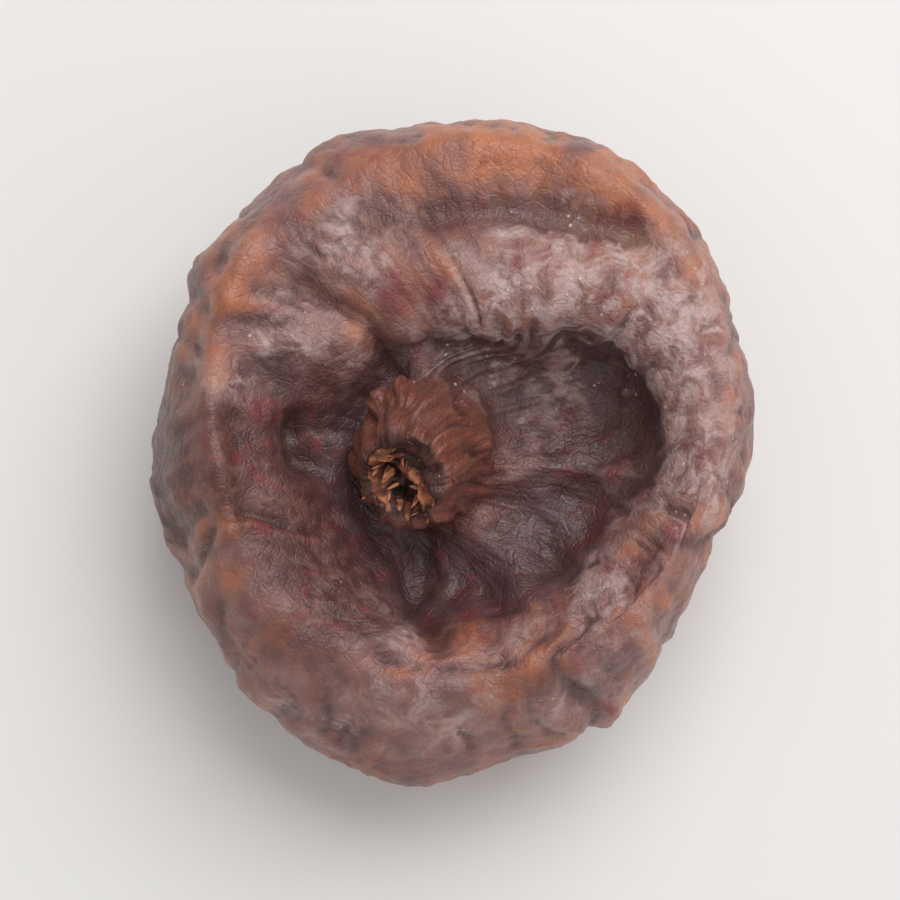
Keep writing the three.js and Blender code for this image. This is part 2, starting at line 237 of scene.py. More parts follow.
def smooth_skin(t, angle):
    """The skin without its wrinkles, as (rows, columns, 3): a cubic B-spline along the hoops, at hoop
    numbers t, of closed B-splines round them. Past each end the cage is mirrored through that end."""
    hoops = np.stack([hoop_points(hoop, angle) for hoop in CAGE])
    before = 2 * hoops[0] - hoops[1]
    after = 2 * hoops[-1] - hoops[-2]
    cage = np.concatenate([before[None], hoops, after[None]])
    start = np.minimum(np.floor(t).astype(int), LAST_HOOP - 1)
    weights = spline_weights(t - start)
    return sum(weights[:, k, None, None] * cage[start + k] for k in range(4))


def grid_normals(place):
    """Outward normals of a grid that closes round its columns: across its columns times along its rows."""
    across = np.roll(place, -1, axis=1) - np.roll(place, 1, axis=1)
    along = np.gradient(place, axis=0)
    normal = np.cross(across, along)
    length = np.linalg.norm(normal, axis=-1, keepdims=True)
    normal = normal / np.maximum(length, 1e-12)
    normal[0] = (0, 0, -1)
    normal[-1] = normal[-2].mean(0) / np.linalg.norm(normal[-2].mean(0))
    return normal


def ramp(a, b, x):
    """0 below a, 1 above b, and a smooth ramp between them."""
    f = np.clip((x - a) / (b - a), 0, 1)
    return f * f * (3 - 2 * f)


def distance_to_line(x, y, line):
    """How far points seen from above are from a line through a few points."""
    least = np.full(x.shape, np.inf)
    for (ax, ay), (bx, by) in zip(line, line[1:]):
        dx, dy = bx - ax, by - ay
        f = np.clip(((x - ax) * dx + (y - ay) * dy) / (dx * dx + dy * dy), 0, 1)
        least = np.minimum(least, np.hypot(x - ax - f * dx, y - ay - f * dy))
    return least


# ------------------------------------------------------------------ noise
def lattice_hash(i, j, k, seed):
    """A repeatable 32-bit number for each corner of a cubic lattice."""
    n = i * np.uint32(73856093) ^ j * np.uint32(19349663) ^ k * np.uint32(83492791)
    n = n ^ np.uint32(seed * 40503)
    n = (n ^ (n >> np.uint32(13))) * np.uint32(1274126177)
    return n ^ (n >> np.uint32(16))


def noise(place, seed=0):
    """Gradient noise, about -1 to 1: a random slope at each lattice corner, blended smoothly."""
    cell = np.floor(place)
    f = place - cell
    cell = cell.astype(np.int64).astype(np.uint32)
    fade = f * f * f * (f * (f * 6 - 15) + 10)
    total = np.zeros(place.shape[:-1])
    for corner in np.ndindex(2, 2, 2):
        h = lattice_hash(*(cell[..., a] + np.uint32(corner[a]) for a in range(3)), seed)
        height = (h & np.uint32(0xFFFF)) / 32767.5 - 1
        swing = (h >> np.uint32(16)) / 65535 * TURN
        flat = np.sqrt(np.maximum(1 - height**2, 0))
        slope = (flat * np.cos(swing), flat * np.sin(swing), height)
        dot = sum((f[..., a] - corner[a]) * slope[a] for a in range(3))
        weight = 1.0
        for a in range(3):
            weight = weight * (fade[..., a] if corner[a] else 1 - fade[..., a])
        total += weight * dot
    return total * 1.7


def puffs(place, seed=0, sharp=0.12):
    """Rounded puffs between narrow creases: the size of the noise, softened to 0 in each crease."""
    n = noise(place, seed)
    return np.minimum(np.sqrt(n * n + sharp * sharp) - sharp, 0.62) / 0.5


def stations(count):
    """Hoop numbers at even steps along the skin, and how far along it each lies. Distances are
    averaged round the fig, and the steps shrink to STALK_STEP of their length up the stalk."""
    t = np.linspace(0, LAST_HOOP, 20 * count + 1)
    angle = np.arange(EIGHTHS) / EIGHTHS * TURN
    lengths = np.linalg.norm(np.diff(smooth_skin(t, angle), axis=0), axis=-1).mean(1)
    steps = lengths / (1 - (1 - STALK_STEP) * ramp(FOOT, NECK, t[1:]))
    lengths, steps = (np.concatenate([[0], np.cumsum(each)]) for each in (lengths, steps))
    wanted = np.linspace(0, steps[-1], count + 1)
    return np.interp(wanted, steps, t), np.interp(wanted, steps, lengths)


# ------------------------------------------------------------------ the skin with its wrinkles
COLUMNS, ROWS = 400, 248

# Noise in space: how far across its features are, in millimetres, and its seed.
LARGE_LUMPS, SMALL_LUMPS, STALK_LUMPS = (8.0, 3), (3.6, 4), (2.4, 5)
PATCHY, RIBBED, CROSSED = (5.0, 31), (9.0, 32), (4.0, 42)
WARP = [(6.0, 11), (6.0, 12), (6.0, 13)]
STALK_LUMP_RISE = 0.5
TORN_FLESH_RISE = 0.5

# Pleats from eye to stalk: noise cells per radian round the fig and per millimetre along it, how far
# the warp sways them, their seed, how soft their creases are, and the mean height of their puffs.
BROAD_PLEATS = (6.5, 0.06, 0.45, 21, 0.16, 0.55)
MIDDLE_PLEATS = (14, 0.17, 0.8, 22, 0.12, 0.5)
NARROW_PLEATS = (29, 0.5, 1.4, 23, 0.12, 0.5)
NECK_PLEATS = (1.7, 0.16, 0.5, 24, 0.1, 0.5)
NECK_FOLDS = (4.5, 0.3, 0.7, 26, 0.1, 0.5)
CROSS_CREASES = (4.5, 0.75, 1.2, 41, 0.12, 0.5)

# How much of the stated height each kind of pleat has on each stretch of the skin.
BROAD_SHARES = {"rim": 0.5, "flank": 0.35, "hollow": 0.4, "rest": 0.65}
MIDDLE_SHARES = {"rim": 0.2, "flank": 0.14, "hollow": 0.1, "rest": 0.33}
NARROW_SHARES = {"rim": 0.08, "rest": 0.1}

# The torn edge of the stalk: the way it is pulled, the hoop number that it lies at and its width in
# hoops, and the noise cells per radian of its large and small tatters.
TORN_OUT = np.array([-0.35, -0.4, 0.85])
TORN_AT, TORN_WIDTH = RIM + 0.6, 0.7
TATTERS = (1.6, 5)

# Noise of the colours. Strands hold the first four of the pleats' numbers, mottles hold how far
# across they are and their seed, and FLOW, for the finish's own strands, needs no seed.
AMBER_RIBS = (9, 0.12, 0.4, 80)
STREAKS, FINE_STREAKS = (3.4, 0.1, 0.4, 61), (11, 0.22, 0.6, 67)
AMBER_MOTTLE = (2.2, 62)
BLOOM_MOTTLE, FINE_BLOOM_MOTTLE = (6.5, 63), (1.9, 64)
FLUSH_MOTTLE, FINE_FLUSH_MOTTLE = (7.0, 65), (2.4, 66)
FLOW = (20, 0.7, 1.2)


def stretches(t):
    """How much each stretch of the skin counts at hoop numbers t: 1 on it, with a ramp at each end."""
    on_rim = ramp(LOWER_TURN - 1, LOWER_TURN + 1, t) * (1 - ramp(LIP - 0.4, WALL, t))
    return {
        "rest": ramp(0.6, 2.5, t) * (1 - ramp(LOWER_TURN - 1, LOWER_TURN + 0.4, t)),
        "rim": on_rim,
        "flank": on_rim * (1 - ramp(CREST - 1, CREST, t)),
        "top": ramp(CREST - 1, CREST - 0.2, t) * (1 - ramp(FOOT, NECK, t)),
        "hollow": ramp(LIP - 0.4, WALL, t) * (1 - ramp(FOOT - 0.3, NECK, t)),
        "stalk": ramp(FOOT - 0.3, NECK, t),
        "break": ramp(RIM - 0.2, RIM + 0.6, t),
    }


class SkinGrid:
    """The skin as a grid of points, rows from the eye to the stalk and columns round the fig. Each has
    its hoop number, its angle round the fig and how far along the skin it lies from the eye."""

    def __init__(self):
        t, along = stations(ROWS)
        angle = np.arange(COLUMNS) / COLUMNS * TURN
        self.place = smooth_skin(t, angle)
        self.t, self.angle = np.broadcast_arrays(t[:, None], angle[None, :])
        self.along = np.broadcast_to(along[:, None], self.t.shape)
        self.on = stretches(self.t)

    def lift(self, height):
        """Raises each point by its height along the skin's normal there."""
        self.place = self.place + grid_normals(self.place) * height[..., None]

    def noise(self, across, seed):
        """Noise in space, with features that far across."""
        return noise(self.place / across, seed)

    def drawn_out(self, turns, rate):
        """Places for noise that runs in strands from eye to stalk: turns noise cells per radian round
        the fig, and rate cells per millimetre along it."""
        x, y = turns * np.cos(self.angle), turns * np.sin(self.angle)
        return np.stack([x, y, rate * self.along], -1)

    def swayed(self, turns, rate, sway):
        """The same places, pushed about by the warp."""
        return self.drawn_out(turns, rate) + self.warp * sway

    def strands(self, turns, rate, sway, seed):
        """Noise in swayed strands from eye to stalk."""
        return noise(self.swayed(turns, rate, sway), seed)

    def pleats(self, turns, rate, sway, seed, soft, mean):
        """Puffs in swayed strands from eye to stalk, less their mean height."""
        return puffs(self.swayed(turns, rate, sway), seed, soft) - mean

    def spread(self, shares):
        """The sum of each named stretch of the skin times its share."""
        return sum(share * self.on[name] for name, share in shares.items())


def broad_lumps(skin, rise):
    """Lumps in two sizes of noise, least on the underside, and smaller ones up the stalk, less the
    dents in the flank."""
    lift = rise * (skin.noise(*LARGE_LUMPS) + 0.25 * skin.noise(*SMALL_LUMPS))
    lift = lift * (0.25 + 0.75 * skin.on["rim"] + 0.75 * skin.on["hollow"])
    lift = lift + STALK_LUMP_RISE * skin.noise(*STALK_LUMPS) * skin.on["stalk"]
    return lift - patches(skin.place, DENTS) * (1 - ramp(CREST, CREASE, skin.t))


def body_pleats(skin, rise):
    """Three sizes of pleats from eye to stalk, which fade where the skin is smooth, and rounded puffs
    on the floor of the hollow."""
    ribbed = 0.3 + 0.7 * ramp(-0.3, 0.4, skin.noise(*RIBBED))
    patchy = 0.65 + 0.35 * skin.noise(*PATCHY)
    lift = skin.pleats(*BROAD_PLEATS) * ribbed * skin.spread(BROAD_SHARES)
    lift = lift + skin.pleats(*MIDDLE_PLEATS) * patchy * skin.spread(MIDDLE_SHARES)
    lift = lift + skin.pleats(*NARROW_PLEATS) * patchy * skin.spread(NARROW_SHARES)
    hollow = puffs(skin.place / 3.0 + skin.warp * 0.3, 25, 0.1) - 0.5
    return rise * (lift + 0.55 * hollow * skin.on["hollow"])


def neck_pleats(skin, rise):
    """Two sizes of pleats up the stalk, which end at its broken rim."""
    lift = skin.pleats(*NECK_PLEATS) + 0.45 * skin.pleats(*NECK_FOLDS)
    return rise * lift * skin.on["stalk"] * (1 - skin.on["break"])


def top_folds(skin):
    """Folds of the top: along each line a ridge or groove, exp(-(distance / width) squared) high."""
    x, y = skin.place[..., 0], skin.place[..., 1]
    lift = sum(
        rise * np.exp(-((distance_to_line(x, y, line) / width) ** 2)) for rise, width, line in FOLDS
    )
    return lift * skin.on["top"]


def flank_furrows(skin):
    """Furrows down the flank: grooves along a direction, which wander a little from side to side."""
    wander = 0.12 * noise(np.stack([0 * skin.along, 0 * skin.along, 0.12 * skin.along], -1))
    lift = np.zeros(skin.t.shape)
    for depth, width, direction, first, last in FURROWS:
        off = (np.degrees(skin.angle + wander) - direction + 180) % 360 - 180
        first, last = hoop_number(first), hoop_number(last)
        reach = ramp(first - 1, first + 1, skin.t) * (1 - ramp(last - 1, last + 1, skin.t))
        lift -= depth * reach * np.exp(-((off / width) ** 2))
    return lift


def torn_edge(skin, rise):
    """How far the stalk's edge is torn up or down: noise round it, greatest at the edge itself."""
    large, small = (skin.drawn_out(turns, 0) for turns in TATTERS)
    at_edge = np.exp(-(((skin.t - TORN_AT) / TORN_WIDTH) ** 2))
    return rise * (noise(large, 51) + 0.5 * noise(small, 52)) * at_edge


def fine_creases(skin, depth):
    """Short creases across the pleats, in patches, and a net of fine ones everywhere."""
    crossed = 0.5 + 0.5 * np.clip(2 * skin.noise(*CROSSED), -1, 1)
    across = 1.6 * skin.pleats(*CROSS_CREASES) * crossed * (skin.on["rim"] + skin.on["hollow"])
    net = puffs(skin.place / 1.25 + skin.warp * 0.6, 43) - 0.5
    return depth * (across + net * (1 - 0.4 * skin.on["stalk"]))


def torn_flesh(skin):
    """Puffs of flesh inside the broken stalk."""
    return TORN_FLESH_RISE * (puffs(skin.place / 1.5, 53) - 0.4) * ramp(RIM + 0.4, RIM + 1.4, skin.t)


def blurred(place, reach):
    """Each point of a closed grid averaged with its neighbours, over a square of 2 * reach + 1 points:
    a running sum along each axis, less itself that many points before."""
    place = np.concatenate([place[:, -reach:], place, place[:, :reach]], 1)
    place = np.concatenate([place[:1].repeat(reach + 1, 0), place, place[-1:].repeat(reach, 0)])
    place = np.concatenate([place[:, :1], place], 1)
    wide = 2 * reach + 1
    for axis in (0, 1):
        total = np.moveaxis(np.cumsum(place, axis=axis), axis, 0)
        place = np.moveaxis((total[wide:] - total[:-wide]) / wide, 0, axis)
    return place


def depth_below(place, normal, reach):
    """How far each point lies below the mean of its neighbours, in millimetres: above 0 in a crease."""
    return ((blurred(place, reach) - place) * normal).sum(-1)


def patches(place, spots):
    """The sum of soft round spots: strength times exp(-(distance / width) squared), in space."""
    total = np.zeros(place.shape[:-1])
    for strength, width, middle in spots:
        away = np.linalg.norm(place - np.array(middle), axis=-1)
        total += strength * np.exp(-((away / width) ** 2))
    return total


def colour_masks(skin):
    """What the finish reads at each point, from 0 to 1: how deep it lies in a crease, where the finish
    paints shade, how amber, dusty or flushed it is, the flush being partly painted shade, from the spots
    plus noise, and which stretch of the skin it is on."""
    place, on = skin.place, skin.on
    normal = grid_normals(place)
    near, wide = depth_below(place, normal, 2), depth_below(place, normal, 6)
    ribs = 0.25 + 0.75 * ramp(-0.45, 0.25, skin.strands(*AMBER_RIBS))
    streaks = skin.strands(*STREAKS) + 0.5 * skin.strands(*FINE_STREAKS)
    amber = patches(place, AMBER_SPOTS) * ribs + 0.6 * streaks + 0.35 * skin.noise(*AMBER_MOTTLE)
    bloom = patches(place, BLOOM_SPOTS) + 0.7 * skin.noise(*BLOOM_MOTTLE)
    bloom = bloom + 0.4 * skin.noise(*FINE_BLOOM_MOTTLE)
    flush = patches(place, FLUSH_AND_SHADE_SPOTS) + 0.7 * skin.noise(*FLUSH_MOTTLE)
    flush = flush + 0.4 * skin.noise(*FINE_FLUSH_MOTTLE)
    return {
        "crease": ramp(0.02, 0.12, near + 0.3 * wide),
        "amber": ramp(0.0, 1.1, amber + 0.35 * ramp(0.0, 0.15, -wide)),
        "bloom": ramp(-0.1, 1.0, bloom - 0.3 * on["hollow"]),
        "flush": ramp(0.1, 1.0, flush),
        "hollow": on["hollow"],
        "stalk": on["stalk"],
        "torn": on["break"],
    }


def fig_surface(sizes):
    """The finished skin as a grid of points, and what its finish reads at each. Lumps, pleats and
    creases are each raised along the normals of what is under them."""
    skin = SkinGrid()
    skin.lift(broad_lumps(skin, sizes.lumps / MM))
    skin.warp = np.stack([skin.noise(*size_and_seed) for size_and_seed in WARP], -1)
    pleats = body_pleats(skin, sizes.pleats / MM) + neck_pleats(skin, sizes.neck_pleats / MM)
    skin.lift(pleats + top_folds(skin) + flank_furrows(skin))
    skin.place = skin.place + TORN_OUT * torn_edge(skin, sizes.torn_edge / MM)[..., None]
    skin.lift(fine_creases(skin, sizes.creases / MM))
    skin.lift(torn_flesh(skin))
    skin.place[..., 2] = np.maximum(skin.place[..., 2], 0)
    return skin.place, {**colour_masks(skin), "flow": skin.swayed(*FLOW)}


def fit_to_box(place, low, high):
    """Points moved and stretched so that their box is the one from low to high."""
    points = place.reshape(-1, 3)
    bottom, top = points.min(0), points.max(0)
    low, high = np.array(low), np.array(high)
    return (place - bottom) / (top - bottom) * (high - low) + low


def closed_mesh(name, grids):
    """One mesh of grids of points, as (grids, rows, columns, 3). Each grid closes round its columns
    and comes to a point at its first and last rows."""
    count, rows, columns = grids.shape[:3]
    vertices = vertex_values(grids)
    each = len(vertices) // count
    ring = 1 + np.arange((rows - 2) * columns).reshape(rows - 2, columns)
    beside = np.roll(ring, -1, axis=1)
    quads = np.stack([ring[:-1], beside[:-1], beside[1:], ring[1:]], -1).reshape(-1, 4)
    foot = np.stack([np.zeros(columns, int), beside[0], ring[0]], -1)
    tip = np.stack([ring[-1], beside[-1], np.full(columns, each - 1)], -1)
    start = np.arange(count)[:, None, None] * each
    faces = []
    for kind in (quads, foot, tip):
        faces += (start + kind).reshape(-1, kind.shape[1]).tolist()
    mesh = bpy.data.meshes.new(name)
    mesh.from_pydata(vertices.tolist(), [], faces)
    mesh.shade_smooth()
    mesh.update()
    return mesh


def vertex_values(values):
    """What grids hold at each point, in the order of closed_mesh's vertices."""
    count, _, _, *rest = values.shape
    inner = values[:, 1:-1].reshape(count, -1, *rest)
    return np.concatenate([values[:, 0, :1], inner, values[:, -1, :1]], 1).reshape(-1, *rest)


def write_attribute(mesh, name, values):
    """Numbers or vectors for each vertex, for the finish to read."""
    values = vertex_values(values).astype(np.float32)
    kind, field = ("FLOAT", "value") if values.ndim == 1 else ("FLOAT_VECTOR", "vector")
    mesh.attributes.new(name, kind, "POINT").data.foreach_set(field, values.ravel())


# ------------------------------------------------------------------ the torn stalk and the eye
SKIN = "dried_fig_skin"


def skin_rows(first, last):
    """The built skin's rows between two hoop numbers, as (rows, columns, 3), in millimetres."""
    skin = bpy.data.objects.get(SKIN)
    if skin is None:
        raise RuntimeError("The skin has to be built first")
    flat = np.empty(len(skin.data.vertices) * 3)
    skin.data.vertices.foreach_get("co", flat)
    rows = flat.reshape(-1, 3)[1:-1].reshape(-1, COLUMNS, 3) / MM
    t = stations(ROWS)[0][1:-1]
    return rows[(t >= first) & (t <= last)]


def unit(vectors):
    """Vectors on a last axis, each made 1 long."""
    return vectors / np.linalg.norm(vectors, axis=-1, keepdims=True)


def ring_frame(ring):
    """The middle of a ring of points, and three axes of it: two across it and one out of its plane."""
    middle = ring.mean(0)
    spokes = ring - middle
    out = unit(np.cross(spokes, np.roll(spokes, -1, axis=0)).sum(0))
    right = unit(np.cross((0, 1, 0), out))
    return middle, right, np.cross(out, right), out


def blades(root, ahead, side, length, width, thickness, lift, outline, columns=10):
    """Closed blades, one for each root, as (blades, rows, columns, 3): an oval section carried ahead
    from the root. It is width * outline wide and thickness * outline thick at each row, and rises
    by lift times the square of how far along it is."""
    far = np.linspace(0, 1, len(outline))[None, :, None, None]
    turn = np.linspace(0, TURN, columns, endpoint=False)[None, None, :, None]
    ahead, side = unit(ahead), unit(side - (side * unit(ahead)).sum(-1, keepdims=True) * unit(ahead))
    up = np.cross(ahead, side)
    size = np.asarray(outline)[None, :, None, None]
    root, ahead, side, up = (v[:, None, None, :] for v in (root, ahead, side, up))
    length, width, thickness, lift = (v[:, None, None, None] for v in (length, width, thickness, lift))
    middle = root + ahead * length * far + up * lift * far**2
    return middle + side * width * size * np.cos(turn) + up * thickness * size * np.sin(turn)


# Hoop numbers between which the skin's first row carries the pith and fibres, and the scales.
STALK_END_ROWS = (RIM + 0.2, RIM + 0.4)
EYE_ROWS = (1.9, 2.2)

# The pith's rows, how many of the skin's columns it takes one of, how high its ridges are, how deep
# it lies in the stalk and how far down it is rooted, and its holes: depth, half width and middle,
# from the middle of the stalk's end.
PITH_ROWS, PITH_STEP = 44, 4
PITH_RIDGES, PITH_LIES, PITH_ROOT = 0.55, 0.75, 2.6
PITH_HOLES = [(1.5, 0.75, (0.7, 1.3)), (1.3, 0.6, (-1.0, 0.3)), (1.5, 0.7, (-0.6, -1.3))]


def pith_surface():
    """The torn flesh inside the stalk's rim, and how high each point of it stands. From its middle
    underneath it runs out to the rim and back on top, where it rises in ragged ridges, 1 less the
    size of noise, between three holes."""
    ring = skin_rows(*STALK_END_ROWS)[0]
    middle, right, ahead, out = ring_frame(ring)
    spokes = ring[::PITH_STEP] - middle
    below = np.linspace(0, 1, PITH_ROWS // 4, endpoint=False)
    above = np.linspace(1, 0, PITH_ROWS - len(below))
    reach = np.concatenate([below, above])[:, None]
    on_top = (np.arange(PITH_ROWS) >= len(below))[:, None]
    flat = middle + reach[..., None] * spokes[None]
    ridges = 1 - 2.2 * np.abs(noise(flat / 1.3, 71)) + 0.5 * noise(flat / 0.6, 72)
    height = PITH_RIDGES * ridges * ramp(1.0, 0.8, reach) - PITH_LIES + 0.45 * reach**2
    x, y = ((flat - middle) * right).sum(-1), ((flat - middle) * ahead).sum(-1)
    for depth, width, (hole_x, hole_y) in PITH_HOLES:
        height = height - depth * np.exp(-((x - hole_x) ** 2 + (y - hole_y) ** 2) / width**2)
    height = np.where(on_top, height, -PITH_ROOT + 2.2 * reach**4)
    return flat + out * height[..., None], height


# The loose fibres: how many, how deep they are rooted, and how wide each row of them is.
FIBRES, FIBRE_ROOT = 46, 0.95
FIBRE_OUTLINE = (0, 1, 1, 0.95, 0.85, 0.75, 0.6, 0.4, 0)


def fibre_blades():
    """Broken strands at the stalk's end: blades rooted over its face and leaning outwards at random."""
    ring = skin_rows(*STALK_END_ROWS)[0]
    middle, _, _, out = ring_frame(ring)
    draw = np.random.default_rng(7)
    spokes = ring[draw.integers(0, COLUMNS, FIBRES)] - middle
    reach = draw.uniform(0.35, 1.02, (FIBRES, 1))
    swing = draw.normal(0, 0.4, (FIBRES, 3))
    return blades(
        root=middle + spokes * reach - out * FIBRE_ROOT,
        ahead=out + 0.6 * unit(spokes) * reach + swing,
        side=np.cross(out, unit(spokes)) + 0.5 * swing,
        length=draw.uniform(0.7, 1.35, FIBRES),
        width=draw.uniform(0.1, 0.32, FIBRES),
        thickness=draw.uniform(0.06, 0.14, FIBRES),
        lift=draw.uniform(-0.4, 0.4, FIBRES),
        outline=FIBRE_OUTLINE,
    )


# Rings of scales that close the eye: how many, how far out they are rooted, and how long they are.
EYE_RINGS = [(11, 2.7, 1.7), (8, 2.0, 1.5), (5, 1.2, 1.1)]
SCALE_THICKNESS, SCALE_COLUMNS = 0.13, 16
SCALE_OUTLINE = (0, 0.62, 0.85, 0.97, 1, 0.95, 0.8, 0.55, 0.28, 0)


def eye_blades():
    """Scales that overlap towards the middle of the eye: leaf-shaped blades in rings, each rooted in
    the skin, pointing inwards and curling up into the eye."""
    middle, right, ahead, out = ring_frame(skin_rows(*EYE_ROWS)[0])
    draw = np.random.default_rng(11)
    rings = []
    for number, (count, reach, length) in enumerate(EYE_RINGS):
        turn = (np.arange(count) + 0.5 * number) / count * TURN + draw.normal(0, 0.06, count)
        spoke = right * np.cos(turn)[:, None] + ahead * np.sin(turn)[:, None]
        rings.append(
            blades(
                root=middle + spoke * reach + out * (0.12 + 0.12 * number),
                ahead=-spoke - out * 0.1 + draw.normal(0, 0.08, (count, 3)),
                side=np.cross(out, spoke) + out * draw.normal(0, 0.15, (count, 1)),
                length=length * draw.uniform(0.85, 1.1, count),
                width=2.4 * reach / count * draw.uniform(0.9, 1.1, count),
                thickness=np.full(count, SCALE_THICKNESS),
                lift=draw.uniform(0.1, 0.5, count),
                outline=SCALE_OUTLINE,
                columns=SCALE_COLUMNS,
            )
        )
    return np.concatenate(rings)


# ------------------------------------------------------------------ finishes
class Finish:
    """A material's node tree, with a short call for each kind of node that the finishes use."""

    def __init__(self, name):
        self.material = bpy.data.materials.new(name)
        self.material.use_nodes = True
        self.tree = self.material.node_tree
        self.shader = self.tree.nodes["Principled BSDF"]
        self.place = self.tree.nodes.new("ShaderNodeTexCoord").outputs["Object"]

    def feed(self, socket, value):
        """Links a socket to another one, or sets it to a number or a colour."""
        if isinstance(value, bpy.types.NodeSocket):
            self.tree.links.new(value, socket)
        else:
            socket.default_value = value

    def attribute(self, name, output="Fac"):
        """What write_attribute wrote under that name."""
        node = self.tree.nodes.new("ShaderNodeAttribute")
        node.attribute_name = name
        return node.outputs[output]

    def noise(self, across, detail=3.0, vector=None, roughness=0.55, distortion=0.0):
        """Noise whose largest features are that far across, in metres or in the vector's unit."""
        node = self.tree.nodes.new("ShaderNodeTexNoise")
        self.feed(node.inputs["Vector"], self.place if vector is None else vector)
        node.inputs["Scale"].default_value = 1 / across
        node.inputs["Detail"].default_value = detail
        node.inputs["Roughness"].default_value = roughness
        node.inputs["Distortion"].default_value = distortion
        return node.outputs["Fac"]

    def bent(self, amount, across):
        """The place in the piece, pushed about by smooth noise."""
        node = self.tree.nodes.new("ShaderNodeTexNoise")
        self.feed(node.inputs["Vector"], self.place)
        node.inputs["Scale"].default_value = 1 / across
        node.inputs["Detail"].default_value = 0
        push = self.tree.nodes.new("ShaderNodeVectorMath")
        push.operation = "MULTIPLY_ADD"
        self.feed(push.inputs[0], node.outputs["Color"])
        self.feed(push.inputs[1], (amount, amount, amount))
        self.feed(push.inputs[2], self.place)
        return push.outputs[0]

    def cells(self, across, feature="F1", vector=None):
        """Distance to the middle of a cell, or to its edge, for cells that far across."""
        node = self.tree.nodes.new("ShaderNodeTexVoronoi")
        node.feature = feature
        self.feed(node.inputs["Vector"], self.place if vector is None else vector)
        node.inputs["Scale"].default_value = 1 / across
        return node.outputs["Distance"]

    def math(self, operation, a, b=0.0, clamp=False):
        """One operation on two values."""
        node = self.tree.nodes.new("ShaderNodeMath")
        node.operation = operation
        node.use_clamp = clamp
        self.feed(node.inputs[0], a)
        self.feed(node.inputs[1], b)
        return node.outputs[0]

    def band(self, value, low, high, to_low=0.0, to_high=1.0):
        """A value mapped smoothly from one range to another, and held at its ends."""
        node = self.tree.nodes.new("ShaderNodeMapRange")
        node.interpolation_type = "SMOOTHSTEP"
        for socket, number in zip(node.inputs[:5], (value, low, high, to_low, to_high)):
            self.feed(socket, number)
        return node.outputs["Result"]

    def mix(self, factor, a, b):
        """Colour a at factor 0, and colour b at factor 1."""
        node = self.tree.nodes.new("ShaderNodeMix")
        node.data_type = "RGBA"
        self.feed(node.inputs["Factor"], factor)
        self.feed(node.inputs["A"], a)
        self.feed(node.inputs["B"], b)
        return node.outputs["Result"]

    def bump(self, height, distance, strength=1.0, below=None):
        """The normal of relief that is distance high, on top of the relief below it."""
        node = self.tree.nodes.new("ShaderNodeBump")
        self.feed(node.inputs["Height"], height)
        node.inputs["Distance"].default_value = distance
        node.inputs["Strength"].default_value = strength
        if below is not None:
            self.feed(node.inputs["Normal"], below)
        return node.outputs["Normal"]

    def set(self, **values):
        """Sets the shader's sockets, named with _ for each space."""
        for name, value in values.items():
            self.feed(self.shader.inputs[name.replace("_", " ")], value)


def srgb(red, green, blue):
    """A colour of three numbers up to 255, as Blender's linear red, green, blue and alpha."""
    parts = [part / 255 for part in (red, green, blue)]
    linear = [p / 12.92 if p <= 0.04045 else ((p + 0.055) / 1.055) ** 2.4 for p in parts]
    return (*linear, 1.0)


